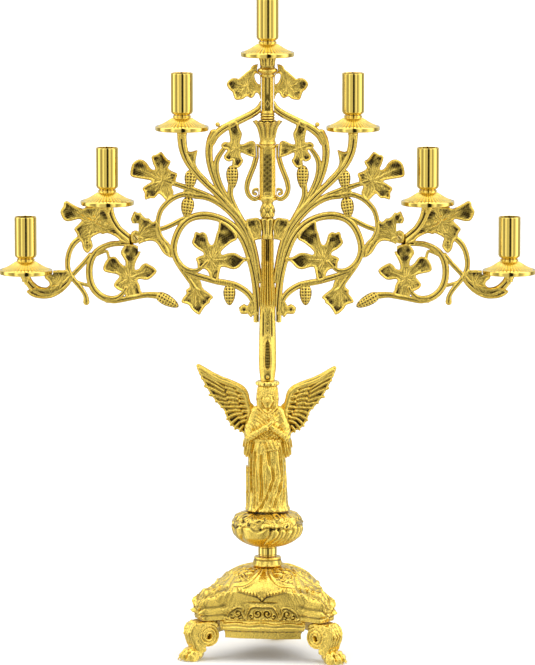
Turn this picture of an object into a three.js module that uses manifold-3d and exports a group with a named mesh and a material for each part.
// Seven-light tabletop candelabra in cast and turned brass.
// Millimetres, +Z up, front towards -Y. The branches lie in one plane through the column's axis.
// A tripod base with lion-paw feet carries a cloud bowl, a winged figure, a built-up column and four branch castings.
import * as THREE from 'three';
import { mergeVertices } from 'three/addons/utils/BufferGeometryUtils.js';
import Module from 'manifold-3d';

// ---------------------------------------------------------------- driving dimensions
const GAP = 0.3;               // clearance between touching pieces
const ROUND = 14;              // sides of a turned piece
const SOCKET_OUTER_R = 12.7;   // 25.4 mm candle socket
const SOCKET_BORE_R = 11.3;    // for a 22 mm candle
const SOCKET_HEIGHT = 47.7;
const SOCKET_FLOOR = 3.2;
const PAN_R = 30.5;
const PAN_HEIGHT = 18;
const STUD_R = 2.0;
const STUD_HOLE_R = 2.35;
const STUD_DEPTH = 12;         // how far a stud reaches into its arm
const ARM_CAP_R = 5.8;
const ROD_R = 3.0;
const ROD_HOLE_R = 3.35;
// lights: centre x and the height of the arm's top face; light 1 stands on the column
const LIGHTS = [
  { n: 1, x: 0, z: 686.2 },
  { n: 2, x: -96.9, z: 602.2 },
  { n: 3, x: 96.9, z: 602.2 },
  { n: 4, x: -181.8, z: 517.4 },
  { n: 5, x: 181.8, z: 517.4 },
  { n: 6, x: -274.7, z: 438.6 },
  { n: 7, x: 274.7, z: 438.6 },
];
// tripod base
const FOOT_AZIMUTHS = { right: 53, left: -67, rear: 173 };  // degrees from the front towards +X
const BASE_ROT = -7;           // azimuth of the middle of the front panel
const SHELL_WALL = 2.6;
// rows of the base shell from the top: height, radius at the middle of a side, radius at a corner, half width of the corner shoulder
const SHELL_ROWS = [
  [103.5, 17.6, 17.6, 0], [101.5, 30, 30, 0], [96.7, 43.8, 43.8, 0], [88, 53, 54.5, 0], [83.5, 55.5, 63, 6], [80.5, 56, 76, 10], [73, 52.5, 85, 15],
  [64, 50, 88, 16.5], [54, 47, 87, 16.5], [47, 47.4, 86, 15.5], [46.3, 47.5, 86, 15.5], [46.2, 47.5, 72, 0],
  [40, 50.5, 76, 0], [35, 50.5, 76, 0], [33, 47.8, 72, 0], [26, 47.5, 72, 0],
];
const COLLAR = [[16.4, 103.9], [16, 105.6], [14.2, 109.6], [15, 110.8], [15, 114.2]];
const NECK_R = 10.9, NECK_Z = [114.6, 125.6];
const BOWL = [[13.8, 126], [19, 127.6], [28.5, 131.7], [37.6, 137.4], [41.6, 147], [41.4, 155], [36.5, 163.4], [25.6, 167.2]];
const FIGURE_Z = [167.6, 311];
const CROWN = [[11, 311.4], [13.2, 311.6], [13.6, 314.4], [12.2, 316.8]];
// turned column pieces: [radius, z]
const SHAFT = [[8.8, 317.2], [10.9, 331], [10.7, 363], [9.8, 386], [9.3, 403], [8.4, 418], [7.2, 432], [6.3, 452], [6.5, 479.4]];
const BUD = [[6.6, 479.8], [6.4, 495], [7.6, 502.5], [9.1, 505], [9.1, 512], [7.4, 519.5], [7.6, 523]];
const COLUMN = [[10.6, 523.4], [10.6, 527], [9.9, 529], [9.7, 583], [10.4, 586.6]];
const TULIP = [[9.2, 587], [8.6, 592], [9.6, 601], [12.2, 608], [15.8, 612.6], [13, 613.6]];
const UPPER = [[8.2, 614], [8.2, 623], [7, 624.5], [6.9, 664], [7.6, 666.8]];
const CAPITAL = [[8.6, 667.2], [11.2, 669.6], [11.2, 672.4], [8.4, 675.4], [9.2, 680], [9.6, 685.9]];
// stems of the branch castings: [x, z, width] along each centre line, left side, and the depth of the bar
const STEMS = {
  D: { casting: 'inner', depth: 8, line: [[-10.8, 385.8, 10.3], [-12.5, 418, 9.1], [-19.4, 454.8, 8.5], [-26.8, 476.1, 8.5], [-38.8, 492.8, 8.5], [-55.9, 503.1, 8.5], [-66.1, 505.5, 9.1], [-83.2, 504.3, 8.5], [-95.8, 496.2, 8], [-100.3, 489.9, 8], [-106, 474.4, 8], [-106.5, 466.3, 8], [-101.5, 452.5, 7.4], [-95.8, 446.8, 6.3], [-88.9, 443.3, 5.7], [-80.9, 443, 5.1], [-68.4, 453.1, 4]] },
  D2: { casting: 'inner', depth: 8, line: [[-106.6, 466.3, 6.8], [-99.2, 447.3, 6.3], [-82.6, 422.6, 5.1]] },
  E: { casting: 'inner', depth: 8, line: [[-93.5, 442.2, 5.7], [-65, 432.6, 7.4], [-37.6, 426.6, 7.4], [-29.6, 422.6, 7.4], [-22.8, 417.4, 7.4], [-18.2, 411.1, 6.8], [-12.5, 393.9, 4.6]] },
  C: { casting: 'inner', depth: 8, line: [[-12.5, 441, 6.8], [-17.7, 466.3, 6.8], [-27.4, 489.9, 6.8], [-41.6, 508.3, 6.8], [-49, 515.2, 6.8], [-65, 525, 6.8], [-95.8, 529.8, 6.3], [-109.4, 524.2, 6.3], [-115.1, 519.2, 6.3], [-120.3, 512.9, 5.9], [-123.1, 506, 5.7], [-124.6, 492.2, 5.7], [-122.9, 485.3, 5.7], [-115.7, 475.5, 4.6]] },
  H: { casting: 'inner', depth: 8, line: [[-55.9, 521.5, 5.7], [-71.8, 530.7, 5.7], [-116.3, 545.7, 4.6]] },
  X2: { casting: 'inner', depth: 5, line: [[-122.5, 489.9, 5.7], [-90.1, 504.3, 5.7]] },
  A2: { casting: 'inner', depth: 8, line: [[-96.9, 600.9, 11.4], [-95.8, 583.6, 10.3], [-88.9, 565.8, 9.1], [-76.4, 549.7, 8.5], [-36.5, 509.4, 7.4], [-22.8, 489.3, 7.4], [-14.2, 464, 6.8], [-9.1, 431.8, 6.8]] },
  F: { casting: 'inner', depth: 8, line: [[-61, 599.7, 9.1], [-66.1, 582.5, 8.8], [-64.6, 562.9, 8], [-61.6, 552, 7.4], [-52.4, 531.9, 6.8], [-31.9, 503.1, 5.7]] },
  G: { casting: 'inner', depth: 8, line: [[-49, 582.5, 5.1], [-57, 569.8, 6.3], [-57.6, 554.9, 6.3], [-51.3, 535.9, 6.3], [-34.2, 508.9, 5.7]] },
  K: { casting: 'inner', depth: 8, line: [[-41.6, 541.1, 6.8], [-42.2, 530.7, 6.8], [-40.5, 523.8, 6.3], [-25.1, 494.5, 5.7]] },
  U: { casting: 'inner', depth: 8, line: [[-5.7, 634.2, 6.8], [-9.7, 627.3, 8], [-17.1, 621.8, 8.5], [-52.4, 603.2, 9.1], [-59.3, 596.8, 9.1], [-63.3, 589.9, 9.1]] },
  LY: { casting: 'lyre', depth: 8, line: [[-11.4, 584.8, 5.7], [-12.5, 574.4, 6.3], [-22.6, 543.4, 6.3], [-23.3, 535.3, 5.7], [-20.5, 528.4, 5.7], [-14.8, 524.6, 5.1], [-9.7, 527.3, 4.6], [-8.8, 532.4, 4], [-12, 535.9, 3.4], [-15.6, 534.8, 3.2], [-16.2, 531.3, 2.8], [-13.7, 529.8, 2.5]] },
  A3: { casting: 'outer', depth: 8, line: [[-180.1, 516.3, 10.8], [-177.3, 503.7, 9.7], [-173.8, 496.8, 9.1], [-169.3, 490.5, 8.5], [-153.9, 477.8, 9.1]] },
  B: { casting: 'outer', depth: 8, line: [[-154.5, 476.1, 6.8], [-176.7, 473.5, 6.3], [-190.9, 467.5, 6.8], [-196.1, 462.5, 7.4], [-201.8, 449.6, 8], [-202, 434.1, 8], [-199.7, 426.1, 8], [-195.5, 419.2, 8], [-189.2, 413.7, 8], [-182.4, 410.8, 8], [-175.6, 410.4, 7.4], [-169.3, 412.8, 5.7], [-160.7, 423.2, 4.6]] },
  T: { casting: 'outer', depth: 8, line: [[-182.4, 409.4, 6.8], [-173.3, 408.5, 6.3], [-136.8, 415.1, 6.8], [-126.5, 414.6, 8]] },
  A: { casting: 'outer', depth: 8, line: [[-200.6, 484.7, 8], [-214.3, 479, 6.8], [-220, 473.8, 6.8], [-224, 466.9, 6.3], [-227.2, 451.9, 6], [-223.7, 437.6, 5.9], [-209.8, 419.7, 5.4], [-206.6, 413.4, 5.7], [-206, 407.1, 7.4]] },
  XA: { casting: 'outer', depth: 5, line: [[-222.9, 436.4, 5.5], [-201.2, 460.6, 5.7]] },
  XB: { casting: 'outer', depth: 5, line: [[-218.9, 430.7, 4], [-201.8, 425.5, 4]] },
  A4: { casting: 'outer', depth: 8, line: [[-274.7, 438.1, 10.3], [-267.3, 424.9, 9.7], [-261.1, 420.3, 10.3], [-253.1, 418, 11.4], [-244, 419.2, 11.4], [-236, 423.2, 10.8], [-223.4, 435.8, 6.8]] },
  LK: { casting: 'outer', depth: 5, line: [[-194.4, 460.6, 3.4], [-182.4, 464.6, 3.4], [-180.1, 457.1, 3.4]] },
};
// leaf plates of the branch castings: [x, z] outlines, left side
const LEAVES = {
  L1: { casting: 'outer', depth: 5, outline: [[-163, 470.9], [-167, 462.9], [-161.9, 454.8], [-162.4, 447.9], [-173.3, 459.4], [-176.7, 459.1], [-183.5, 454.8], [-187, 444.5], [-184.7, 441.6], [-168.7, 437.6], [-175.6, 426.6], [-161.9, 416.9], [-161.9, 410], [-142.5, 414.6], [-144.8, 426.1], [-148.2, 431.8], [-145.9, 433.5], [-135.7, 432.4], [-125.4, 442.2], [-130, 447.9], [-137.9, 451.9], [-141.4, 450.8], [-145.9, 445], [-151, 443.3], [-150.5, 450.2], [-143.6, 465.2], [-145.9, 470.9], [-153.9, 473.8], [-160.7, 473.8]], holes: [] },
  P: { casting: 'inner', depth: 5, outline: [[-155.6, 501.4], [-150.5, 511.2], [-145.9, 508.9], [-144.2, 510], [-140.2, 504.3], [-134.5, 503.1], [-130, 498.5], [-127.7, 500.2], [-123.7, 498.5], [-122.5, 484.7], [-115.1, 473.2], [-109.4, 457.1], [-118.6, 462.9], [-127.7, 476.1], [-136.8, 476.7], [-150.5, 470.9], [-150.5, 488.2]], holes: [] },
  LM: { casting: 'outer', depth: 5, outline: [[-231.4, 520.4], [-226.9, 522.7], [-209.8, 513.5], [-206.3, 516.3], [-184.7, 516.3], [-173.3, 493.9], [-153.9, 474.4], [-160.7, 473.8], [-177.8, 484.7], [-190.4, 486.1], [-199.5, 481.8], [-200.6, 477.8], [-197.8, 470.9], [-204.1, 462.9], [-207.5, 464.6], [-210.9, 475.5], [-215.5, 480.1], [-219.7, 489.9], [-210.9, 499.7], [-211.5, 501.4], [-225.7, 499.1], [-230.3, 500.2], [-235.1, 508.9]], holes: [] },
  R4: { casting: 'outer', depth: 8, outline: [[-274.7, 419.7], [-267.9, 413.4], [-262.2, 411.5], [-242.8, 412.8], [-231.4, 419.7], [-226.9, 424.9], [-222.3, 431.8], [-224, 441], [-227.4, 444.5], [-244, 443.3], [-253.6, 437.6], [-247.4, 426.1], [-253.1, 422.6], [-262.2, 424.9]], holes: [] },
  SH2: { casting: 'inner', depth: 5, outline: [[-91.2, 579.6], [-86.6, 578.4], [-78.7, 580.8], [-81.5, 566.4], [-79.8, 560.6], [-65, 544.5], [-69.5, 542.2], [-88.9, 564.1], [-93.5, 574.4]], holes: [] },
  L2: { casting: 'inner', depth: 5, outline: [[-65, 472.1], [-68.4, 483.6], [-74.1, 487.6], [-77.5, 485.9], [-80.9, 488.2], [-86.1, 476.7], [-85.5, 473.2], [-80.9, 468.6], [-73, 464], [-72.4, 460.6], [-82.1, 456.5], [-78.7, 445], [-73, 445.6], [-67.3, 442.2], [-65, 431.8], [-55.9, 430.7], [-53, 446.8], [-36.5, 444.5], [-25.1, 454.2], [-20.5, 452.5], [-19.9, 459.4], [-26.2, 457.7], [-38.8, 463.8], [-51.3, 460.6], [-53, 462.9], [-41, 475.5], [-33.1, 479], [-36.5, 488.2], [-47.9, 498.5], [-55.3, 500.8], [-55.9, 490.5], [-61.6, 472.6]], holes: [] },
  L3: { casting: 'inner', depth: 5, outline: [[-93.4, 421.2], [-91.8, 416.9], [-99, 406.3], [-89.7, 404.7], [-86.5, 398.2], [-77.3, 391.3], [-69.3, 403.9], [-65, 406.3], [-65.3, 409.5], [-60.5, 412.4], [-73.8, 422.4], [-75.4, 430.6], [-79.8, 436.4], [-88.9, 438.7], [-90.6, 431.8], [-87.8, 423.8]], holes: [] },
  L4: { casting: 'inner', depth: 5, outline: [[-126.5, 558.3], [-131.7, 572.7], [-120.3, 579], [-112.9, 569.8], [-109.4, 568.7], [-112.9, 560.6], [-102, 554.3], [-103.7, 542.2], [-108.3, 539.9], [-106, 533], [-107.2, 527.3], [-114, 521.5], [-123.1, 531.3], [-128.8, 525.5], [-138.5, 523.8], [-141.4, 538.2], [-131.1, 544.5], [-132.2, 546.2], [-155.4, 550.2], [-153.4, 566], [-145.6, 571], [-137.7, 568], [-131.8, 558.1]], holes: [] },
  T1: { casting: 'topleaf', depth: 5, outline: [[-5.7, 678.5], [-14.8, 677.9], [-32.5, 661.2], [-39.9, 662.4], [-43.9, 660.1], [-46.7, 655.5], [-35.3, 637.1], [-27.4, 638.2], [-22.8, 641.7], [-17.7, 639.6], [-11.4, 645.7], [-8, 637.7], [-5.7, 637.7]], holes: [[[-14.2, 667], [-12.5, 667.6], [-9.1, 666.4], [-8.4, 661.8], [-8.4, 654.9], [-11.4, 656.1], [-13.7, 660.1], [-14.8, 664.1]]] },
  T2: { casting: 'inner', depth: 5, outline: [[-43.3, 598.6], [-43.3, 588.8], [-47.9, 590.5], [-51.9, 588.2], [-53, 584.8], [-50.2, 581.3], [-45, 580.8], [-50.2, 573.3], [-47.9, 568.7], [-42.2, 566.9], [-39.3, 569.8], [-41, 561.8], [-33.1, 559.5], [-28.5, 565.2], [-26.8, 569.2], [-29.6, 572.1], [-30.8, 578.4], [-12.5, 572.1], [-13.1, 588.2], [-14.8, 590.5], [-18.2, 591.7], [-27.4, 587.1], [-31.9, 587.1], [-28.5, 599.7], [-33.1, 611.2], [-37.6, 614.7], [-44.5, 610.1]], holes: [] },
  CW: { casting: 'inner', depth: 8, outline: [[-25.1, 502], [-9.1, 503.1], [-4.6, 493.9], [-4.6, 479], [-16, 476.7], [-20.5, 480.1]], holes: [] },
  PL: { casting: 'inner', depth: 5, outline: [[-95.8, 537.6], [-82.1, 536.5], [-80.9, 527.3], [-95.8, 526.1]], holes: [] },
  FL: { casting: 'inner', depth: 5, outline: [[-26.7, 404.2], [-22.8, 401.9], [-20.5, 407.7], [-16, 410], [-12.5, 405.4], [-12.5, 392.7], [-17.1, 391.6], [-19, 388.4], [-22.8, 394.4], [-26.7, 392.7], [-31.9, 396.2], [-31.3, 401.9]], holes: [] },
  BD: { casting: 'inner', depth: 5, outline: [[-122.5, 477.8], [-114, 477.8], [-109.4, 470.9], [-106.6, 464], [-108.3, 456], [-119.7, 468.6]], holes: [] },
};
// seed cones and buds: centre, half length, half width, direction
const CONES = {
  c1: { casting: 'outer', at: [-114, 408.8], half: 14.8, radius: 6.3, dir: [0.875, -0.485] },
  c2: { casting: 'inner', at: [-43.3, 415.1], half: 12, radius: 6.8, dir: [0, -1] },
  c3: { casting: 'inner', at: [-39.9, 549.7], half: 13.7, radius: 6.8, dir: [0, -1] },
  c4: { casting: 'inner', at: [-87.2, 546.8], half: 11.4, radius: 7.2, dir: [-0.08, -1] },
  c5: { casting: 'inner', at: [-90.9, 515.2], half: 12, radius: 7.4, dir: [-0.15, -1] },
};const WING = [[-80.9, 331.8], [-78, 333.3], [-57.1, 320.9], [-39.6, 314.5], [-26.8, 308], [-21.9, 300], [-21, 290.4], [-16, 286],
  [-11, 276], [-11, 252], [-19, 248.6], [-22, 248.4], [-30, 256.3], [-39.6, 259.5], [-47.5, 270.8], [-49.1, 280.5], [-60.4, 290.4], [-69.9, 304.8], [-76.4, 318]];
const WING_Y = [9.3, 13.3];
const WING_SCREW = [-14.6, 263];
const LAP_SCREW = [-149.5, 481];   // screw that holds an outer branch to an inner one
const LAP_X = -146.5;              // end of the inner branch's full thickness

// ---------------------------------------------------------------- solids
const wasm = await Module();
wasm.setup();

function solid(geometry) {
  const g = geometry.clone();
  for (const name of Object.keys(g.attributes)) if (name !== 'position') g.deleteAttribute(name);
  const m = mergeVertices(g, 1e-4);
  const tri = new Uint32Array(m.index.array);
  const make = () => new wasm.Manifold(new wasm.Mesh({ numProp: 3, vertProperties: new Float32Array(m.attributes.position.array), triVerts: tri }));
  let made = make();
  if (made.volume() < 0) {
    for (let i = 0; i < tri.length; i += 3) [tri[i + 1], tri[i + 2]] = [tri[i + 2], tri[i + 1]];
    made = make();
  }
  return made;
}

function geometryOf(s) {
  const mesh = s.getMesh();
  const pos = new Float32Array(mesh.numVert * 3);
  for (let i = 0; i < mesh.numVert; i++) for (let k = 0; k < 3; k++) pos[3 * i + k] = mesh.vertProperties[i * mesh.numProp + k];
  const g = new THREE.BufferGeometry();
  g.setAttribute('position', new THREE.BufferAttribute(pos, 3));
  g.setIndex(new THREE.BufferAttribute(new Uint32Array(mesh.triVerts), 1));
  const flat = g.toNonIndexed();
  flat.computeVertexNormals();
  return flat;
}

const all = (list) => list.reduce((a, b) => a.add(b));

// Drops slivers that a boolean leaves beside a body: only the largest piece stays.
function largest(s) {
  const parts = s.decompose();
  return parts.reduce((a, b) => (a.volume() > b.volume() ? a : b));
}

// A solid turned about Z from an [r, z] profile; half a side's turn puts a flat to the front.
function turned(profile, sides = ROUND, flatFront = true) {
  const pts = profile.map(([r, z]) => new THREE.Vector2(r, z));
  const g = new THREE.LatheGeometry(pts, sides, flatFront ? Math.PI / sides : 0);
  g.rotateX(Math.PI / 2);
  return solid(g);
}

const closed = (profile) => [[0, profile[0][1]], ...profile, [0, profile[profile.length - 1][1]]];
const ringed = (profile, hole) => [[hole, profile[0][1]], ...profile, [hole, profile[profile.length - 1][1]], [hole, profile[0][1]]];

function cylinder(r, z0, z1, sides = ROUND) {
  return turned([[0, z0], [r, z0], [r, z1], [0, z1]], sides);
}

// A plate in the XZ plane between two depths.
function plate(outline, y0, y1, holes = []) {
  const shape = new THREE.Shape(outline.map(([x, z]) => new THREE.Vector2(x, z)));
  for (const h of holes) shape.holes.push(new THREE.Path(h.map(([x, z]) => new THREE.Vector2(x, z))));
  const g = new THREE.ExtrudeGeometry(shape, { depth: y1 - y0, bevelEnabled: false });
  g.rotateX(Math.PI / 2);
  g.translate(0, y1, 0);
  return solid(g);
}

// A cylinder along Y at (x, z).
function pinY(x, z, r, y0, y1, sides = 10) {
  const g = new THREE.CylinderGeometry(r, r, y1 - y0, sides);
  g.translate(x, (y0 + y1) / 2, z);
  return solid(g);
}

function box(x0, x1, y0, y1, z0, z1) {
  const g = new THREE.BoxGeometry(x1 - x0, y1 - y0, z1 - z0);
  g.translate((x0 + x1) / 2, (y0 + y1) / 2, (z0 + z1) / 2);
  return solid(g);
}

function ellipsoid(cx, cy, cz, rx, ry, rz, w = 10, h = 8) {
  const g = new THREE.SphereGeometry(1, w, h);
  g.rotateX(Math.PI / 2);
  g.scale(rx, ry, rz);
  g.translate(cx, cy, cz);
  return solid(g);
}

// A flat bar that follows a centre line [x, z, width].
function bar(line, depth) {
  const left = [], right = [];
  line.forEach(([x, z, w], i) => {
    const a = line[Math.max(0, i - 1)], b = line[Math.min(line.length - 1, i + 1)];
    const t = new THREE.Vector2(b[0] - a[0], b[1] - a[1]).normalize();
    left.push([x - t.y * w / 2, z + t.x * w / 2]);
    right.push([x + t.y * w / 2, z - t.x * w / 2]);
  });
  return plate([...left, ...right.reverse()], -depth / 2, depth / 2);
}

function cone(c) {
  const [dx, dz] = c.dir, n = Math.hypot(dx, dz);
  const g = new THREE.SphereGeometry(1, 8, 6);
  g.scale(c.radius, c.half, c.radius);
  g.rotateZ(Math.atan2(dz / n, dx / n) - Math.PI / 2);
  g.rotateX(0);
  const p = g.attributes.position;
  for (let i = 0; i < p.count; i++) p.setXYZ(i, p.getX(i) + c.at[0], p.getZ(i), p.getY(i) + c.at[1]);
  return solid(g);
}

function casting(name) {
  const bits = [];
  for (const s of Object.values(STEMS)) if (s.casting === name) bits.push(bar(s.line, s.depth));
  for (const l of Object.values(LEAVES)) if (l.casting === name) bits.push(plate(l.outline, -l.depth / 2, l.depth / 2, l.holes));
  for (const c of Object.values(CONES)) if (c.casting === name) bits.push(cone(c));
  return all(bits);
}

const mirrorX = (s) => s.mirror([1, 0, 0]);

// ---------------------------------------------------------------- the column's stack, and the space it needs
const sidesOf = { shaft: 8, column: 8, upper: 8 };
const grown = (profile, sides) => {
  const k = 1 / Math.cos(Math.PI / sides);
  const out = profile.map(([r, z]) => [r + GAP * k + 0.02, z]);
  out[0] = [out[0][0], out[0][1] - GAP];
  out[out.length - 1] = [out[out.length - 1][0], out[out.length - 1][1] + GAP];
  return turned(closed(out), sides);
};
const core = all([
  grown(CROWN, 12), grown(SHAFT, sidesOf.shaft), grown(BUD, 12), grown(COLUMN, sidesOf.column), grown(TULIP, 12), grown(UPPER, sidesOf.upper), grown(CAPITAL, 12),
]);

// ---------------------------------------------------------------- materials
const brass = (color, roughness) => new THREE.MeshStandardMaterial({ color, roughness, metalness: 1 });
const cast = brass(0xcfae4a, 0.32);
const polished = brass(0xd9ba58, 0.18);
const steel = brass(0xb9a36a, 0.45);

const candelabra = new THREE.Group();
function add(name, s, material) {
  const mesh = new THREE.Mesh(geometryOf(s), material);
  mesh.name = name;
  candelabra.add(mesh);
  return s;
}

// ---------------------------------------------------------------- base
const rad = Math.PI / 180;
// r(azimuth) of a rounded triangle with a blunt ear on each corner: side distance a, corner distance c, ear half width e
function plan(azimuth, a, c, e) {
  let d = ((azimuth - BASE_ROT) % 120 + 120) % 120;
  if (d > 60) d = 120 - d;              // 0 at the middle of a side, 60 at a corner
  const q = (60 - d) * rad;
  const body = c === a ? a : Math.pow(Math.pow(Math.cos(d * rad) / a, 5) + Math.pow(Math.cos(q) / c, 5), -0.2);
  return e > 0 ? Math.max(body, Math.min(c / Math.cos(q), e / Math.max(Math.sin(q), 1e-6))) : body;
}
const SECTOR = [-52.5, -49.6, -47.5, -42, -32, -16, 0, 16, 32, 42, 47.5, 49.6, 52.5, 60];
const AZIMUTHS = [0, 1, 2].flatMap((k) => SECTOR.map((d) => BASE_ROT + 120 * k + d));
function baseForm(rows, inset, zTop, zBottom) {
  const N = AZIMUTHS.length;
  const pts = [[0, zTop], ...rows.map(([z, a]) => [Math.max(0.5, a), z]), [0, zBottom]];
  const g = new THREE.LatheGeometry(pts.map(([r, z]) => new THREE.Vector2(r, z)), N);
  g.rotateX(Math.PI / 2);
  const p = g.attributes.position, n = pts.length;
  for (let i = 0; i < p.count; i++) {
    const row = (i % n) - 1;
    if (row < 0 || row >= rows.length) continue;
    const azimuth = AZIMUTHS[Math.floor(i / n) % N];
    const [, a, c, e] = rows[row];
    const r = plan(azimuth, a - inset, c - inset, e > inset ? e - inset : 0);
    p.setXY(i, r * Math.sin(azimuth * rad), -r * Math.cos(azimuth * rad));
  }
  return solid(g);
}
const outerForm = baseForm(SHELL_ROWS, 0, SHELL_ROWS[0][0], SHELL_ROWS.at(-1)[0]);
// inside, the wall runs straight down behind the rim moulding
const innerRows = SHELL_ROWS.filter(([z]) => z > 50 && z < 102).map(([z, a, c, e]) => [z - SHELL_WALL, a, c, e]);
innerRows.unshift([100.2, 17, 17, 0]);
innerRows.push([49.1, 46.8, 86, 15.5], [49, 46.8, 71.5, 0], [SHELL_ROWS.at(-1)[0] - 1, 47, 71.4, 0]);
const innerForm = baseForm(innerRows, SHELL_WALL, 100.2, SHELL_ROWS.at(-1)[0] - 1);
// along u (outwards) and v (sideways) at a foot's azimuth
function atAzimuth(s, azimuth) {
  return s.rotate([0, 0, azimuth - 90]);   // +X turned to the azimuth measured from -Y towards +X
}
const legOutline = [[72, 46], [88, 46], [96, 43], [100, 36], [99, 27], [95.5, 17], [88, 8], [78, 8], [80, 20], [78, 30], [70, 34], [64, 36], [64, 40]];
function foot(grow = 0) {
  const leg = plate(legOutline, -12.5 - grow, 12.5 + grow);
  const scroll = pinY(77.5, 29, 12.8 + grow, -14 - grow, 14 + grow, 16);
  const paw = ellipsoid(95, 0, 6, 15.8 + grow, 14.8 + grow, 12.5 + grow, 12, 7).subtract(box(60, 130, -40, 40, -20, grow ? -1 : 0));
  return leg.add(scroll).add(paw);
}
const footSolid = foot().subtract(cylinder(1.75, 33, 50, 8).translate([77, 0, 0]));
const footSpace = plate([[62, 46.3], [88.4, 46.3], [110, 46.3], [110, 5], [60, 5], [58, 20], [58, 40]], -14.4, 14.4);
let shell = outerForm.subtract(innerForm);
const screws = [];
for (const [side, azimuth] of Object.entries(FOOT_AZIMUTHS)) {
  const web = outerForm.intersect(atAzimuth(box(62, 100, -22, 22, 46.3, 49.2), azimuth));
  shell = shell.add(web).subtract(atAzimuth(footSpace, azimuth)).subtract(atAzimuth(cylinder(1.85, 40, 55, 8).translate([77, 0, 0]), azimuth));
  screws.push([side, azimuth]);
}
shell = shell.subtract(cylinder(ROD_HOLE_R, 90, 120, 12));
add('base_shell', largest(shell), cast);
for (const [side, azimuth] of screws) {
  add('base_foot_' + side, atAzimuth(footSolid, azimuth), cast);
  const screw = turned([[0, 34], [1.45, 34], [1.45, 49.5], [3.4, 49.5], [3.0, 51.6], [0, 52]], 8).translate([77, 0, 0]);
  add('foot_screw_' + side, atAzimuth(screw, azimuth), steel);
}

// ---------------------------------------------------------------- neck, bowl and figure
add('base_collar', turned(ringed(COLLAR, ROD_HOLE_R), 14), cast);
add('neck_sleeve', turned(ringed([[NECK_R, NECK_Z[0]], [NECK_R, NECK_Z[1]]], ROD_HOLE_R), 14), polished);
add('cloud_bowl', turned(ringed(BOWL, ROD_HOLE_R), 16), cast);

function robe(rows) {
  // [z, half width, half depth, y offset]
  const pts = [[0, rows[0][0]], ...rows.map((r) => [r[1], r[0]]), [0, rows.at(-1)[0]]];
  const g = new THREE.LatheGeometry(pts.map(([r, z]) => new THREE.Vector2(r, z)), 10, Math.PI / 10);
  g.rotateX(Math.PI / 2);
  const p = g.attributes.position, n = pts.length;
  for (let i = 0; i < p.count; i++) {
    const k = (i % n) - 1;
    const row = rows[Math.min(Math.max(k, 0), rows.length - 1)];
    const y = p.getY(i) * (k < 0 || k >= rows.length ? 0 : row[2] / row[1]) + row[3];
    p.setY(i, y);
  }
  return solid(g);
}
const body = robe([
  [167.6, 23.4, 19, -1], [180, 22.8, 18, -1], [205, 22, 16.5, -1], [225, 21.2, 16, -1], [245, 20, 15, -1], [256, 21.5, 14.5, -1],
  [270, 21, 13.5, -0.5], [280, 19, 12, 0], [286, 13, 9.5, 0], [289, 7, 7, -0.5],
]);
const head = ellipsoid(0, -2, 298.4, 12.6, 12.8, 13.2, 10, 8);
const neck = turned(closed([[7, 284], [6.6, 292]]), 10);
const sleeves = [-1, 1].map((k) => ellipsoid(k * 20, -2, 243, 8, 10.5, 14, 8, 6).add(ellipsoid(k * 21, -1, 262, 7, 9.5, 15, 8, 6)));
const forearm = (k) => {
  const g = new THREE.CylinderGeometry(4.6, 6, 30, 8);
  g.rotateZ(k * 58 * rad);
  g.rotateX(Math.PI / 2);
  g.rotateY(0);
  const p = g.attributes.position;
  for (let i = 0; i < p.count; i++) p.setXYZ(i, p.getX(i), p.getY(i) - 14 - (k > 0 ? 2 : 0), p.getZ(i) + 262);
  return solid(g);
};
const block = box(-25, -14, -2, 12, 168, 216);
let figure = all([body, head, neck, ...sleeves, forearm(1), forearm(-1), block]);
figure = figure.intersect(box(-60, 60, -40, 40, FIGURE_Z[0], FIGURE_Z[1]));
const cap = cylinder(9.5, 300, 311, 12);
figure = figure.add(cap);
figure = figure.subtract(box(-60, 60, 9, 40, 244, 292));
figure = figure.subtract(cylinder(ROD_HOLE_R, 160, 196, 12)).subtract(cylinder(ROD_HOLE_R, 288, 320, 12));
figure = figure.subtract(pinY(WING_SCREW[0], WING_SCREW[1], 1.8, 0, 20, 8)).subtract(pinY(-WING_SCREW[0], WING_SCREW[1], 1.8, 0, 20, 8));
add('angel_figure', largest(figure), cast);
const wing = plate(WING, WING_Y[0], WING_Y[1]).subtract(pinY(WING_SCREW[0], WING_SCREW[1], 1.8, 0, 20, 8));
add('wing_left', wing, cast);
add('wing_right', mirrorX(wing), cast);
const wingScrew = pinY(WING_SCREW[0], WING_SCREW[1], 1.45, 1, WING_Y[1] + 1, 8).add(pinY(WING_SCREW[0], WING_SCREW[1], 3.4, WING_Y[1] + GAP, WING_Y[1] + 2.3, 8));
add('wing_screw_left', wingScrew, steel);
add('wing_screw_right', mirrorX(wingScrew), steel);

// ---------------------------------------------------------------- column
const pieces = [
  ['crown_cap', CROWN, 12], ['lower_shaft', SHAFT, sidesOf.shaft], ['column_bud', BUD, 12], ['central_column', COLUMN, sidesOf.column],
  ['tulip_calyx', TULIP, 12], ['upper_column', UPPER, sidesOf.upper], ['top_capital', CAPITAL, 12],
];
for (const [name, profile, sides] of pieces) {
  const s = turned(closed(profile), sides).subtract(cylinder(ROD_HOLE_R, 300, 700, 12));
  add(name, s, name === 'crown_cap' || name === 'top_capital' ? polished : cast);
}
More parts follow.
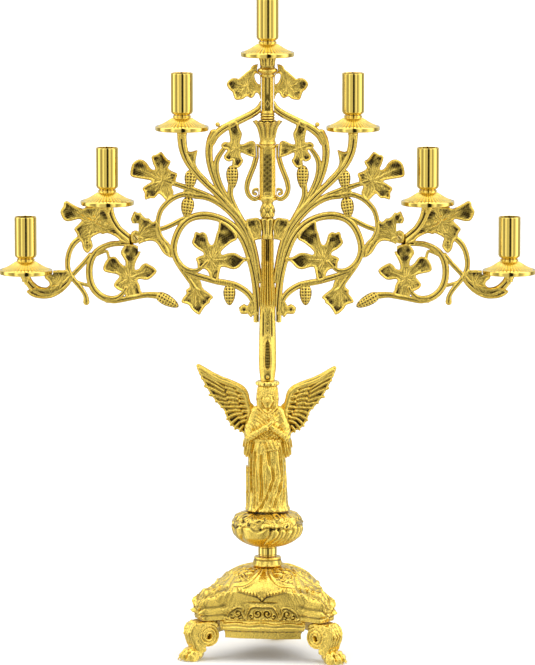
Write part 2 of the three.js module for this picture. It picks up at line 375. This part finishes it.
// lower rod: from the nut inside the base up into the figure; upper rod: from the figure's crown to the top light
add('tie_rod_lower', cylinder(ROD_R, 84, 194, 8), steel);
add('tie_rod_washer', turned(ringed([[11, 96.6], [11, 98.2]], ROD_HOLE_R), 12), steel);
add('tie_rod_nut', turned(closed([[6.4, 90.2], [6.4, 96.2]]), 6).subtract(cylinder(ROD_HOLE_R, 80, 110, 12)), steel);
const rodTop = LIGHTS[0].z - 2, studTop = LIGHTS[0].z + PAN_HEIGHT + SOCKET_FLOOR + 3;
add('tie_rod_upper', turned([[0, 290], [ROD_R, 290], [ROD_R, rodTop], [STUD_R, rodTop], [STUD_R, studTop], [0, studTop]], 8), steel);

// ---------------------------------------------------------------- branch castings
const lapHole = pinY(LAP_SCREW[0], LAP_SCREW[1], 1.8, -20, 20, 8);
const armTop = (l) => cylinder(ARM_CAP_R, l.z - 5, l.z, 12).translate([l.x, 0, 0]);
const studHole = (l) => cylinder(STUD_HOLE_R, l.z - STUD_DEPTH, l.z + 10, 8).translate([l.x, 0, 0]);
const trimTop = (l) => cylinder(PAN_R + 0.8, l.z, l.z + 30).translate([l.x, 0, 0]);
// inner branch: the lap's front half
const lapZone = box(-160, LAP_X, -20, 20, 470, 510);
let inner = casting('inner').add(armTop(LIGHTS[1])).subtract(trimTop(LIGHTS[1])).subtract(studHole(LIGHTS[1]));
const lapPad = box(-156, LAP_X + 2, -4, -GAP / 2, 474, 489);
inner = inner.subtract(box(-160, LAP_X, -20, 20, 465, 497)).add(lapPad).subtract(lapHole).subtract(core);
inner = largest(inner);
add('inner_vine_left', inner, cast);
add('inner_vine_right', mirrorX(inner), cast);
let outer = casting('outer').add(armTop(LIGHTS[3])).add(armTop(LIGHTS[5]))
  .subtract(trimTop(LIGHTS[3])).subtract(studHole(LIGHTS[3])).subtract(trimTop(LIGHTS[5])).subtract(studHole(LIGHTS[5]));
const outerPad = box(-157, LAP_X - GAP, GAP / 2, 4.4, 474, 489);
outer = outer.subtract(box(-156.4, -100, -20, GAP / 2, 474 - GAP, 489 + GAP)).subtract(box(LAP_X - GAP, -100, -20, 20, 465, 500)).add(outerPad).subtract(lapHole);
outer = outer.subtract(box(-156.3, -100, -20, GAP / 2, 473.6, 489.4));
outer = largest(outer);
add('outer_branch_left', outer, cast);
add('outer_branch_right', mirrorX(outer), cast);
const lapScrew = pinY(LAP_SCREW[0], LAP_SCREW[1], 1.45, -5, 4.2, 8).add(ellipsoid(LAP_SCREW[0], -4.3, LAP_SCREW[1], 3.6, 2.6, 3.6, 10, 8).subtract(box(-170, -130, -4.3, 10, 470, 490)));
add('branch_screw_left', lapScrew, steel);
add('branch_screw_right', mirrorX(lapScrew), steel);
for (const [name, key] of [['top_leaf', 'topleaf'], ['lyre_scroll', 'lyre']]) {
  const s = largest(casting(key).subtract(core).subtract(grown([[0.1, 580], [0.1, 590]], 8)));
  const free = key === 'lyre' ? largest(s.subtract(inner)) : s;
  add(name + '_left', free, cast);
  add(name + '_right', mirrorX(free), cast);
}

// ---------------------------------------------------------------- lights
const panProfile = [[STUD_HOLE_R, 0], [8.6, 0], [9.2, 7], [28.6, 0], [PAN_R, 0.8], [PAN_R, 5.4], [28.8, 5.2], [10, 14.6], [10, PAN_HEIGHT - GAP], [STUD_HOLE_R, PAN_HEIGHT - GAP], [STUD_HOLE_R, 0]];
const socketProfile = [[STUD_HOLE_R, 0], [9.6, 0], [11.8, 1.4], [SOCKET_OUTER_R, 4.4], [SOCKET_OUTER_R, SOCKET_HEIGHT], [SOCKET_BORE_R, SOCKET_HEIGHT], [SOCKET_BORE_R, SOCKET_FLOOR], [STUD_HOLE_R, SOCKET_FLOOR], [STUD_HOLE_R, 0]];
const pan = turned(panProfile), socket = turned(socketProfile);
for (const l of LIGHTS) {
  add('drip_pan_' + l.n, pan.translate([l.x, 0, l.z + GAP]), polished);
  add('candle_socket_' + l.n, socket.translate([l.x, 0, l.z + PAN_HEIGHT + GAP]), polished);
  if (l.n > 1) add('socket_stud_' + l.n, cylinder(STUD_R, l.z - STUD_DEPTH + GAP, l.z + PAN_HEIGHT + SOCKET_FLOOR + 3, 8).translate([l.x, 0, 0]), steel);
}

// ---------------------------------------------------------------- origin: under the middle of the whole
const bounds = new THREE.Box3().setFromObject(candelabra);
candelabra.position.set(-(bounds.min.x + bounds.max.x) / 2, -(bounds.min.y + bounds.max.y) / 2, -bounds.min.z);

export default candelabra;
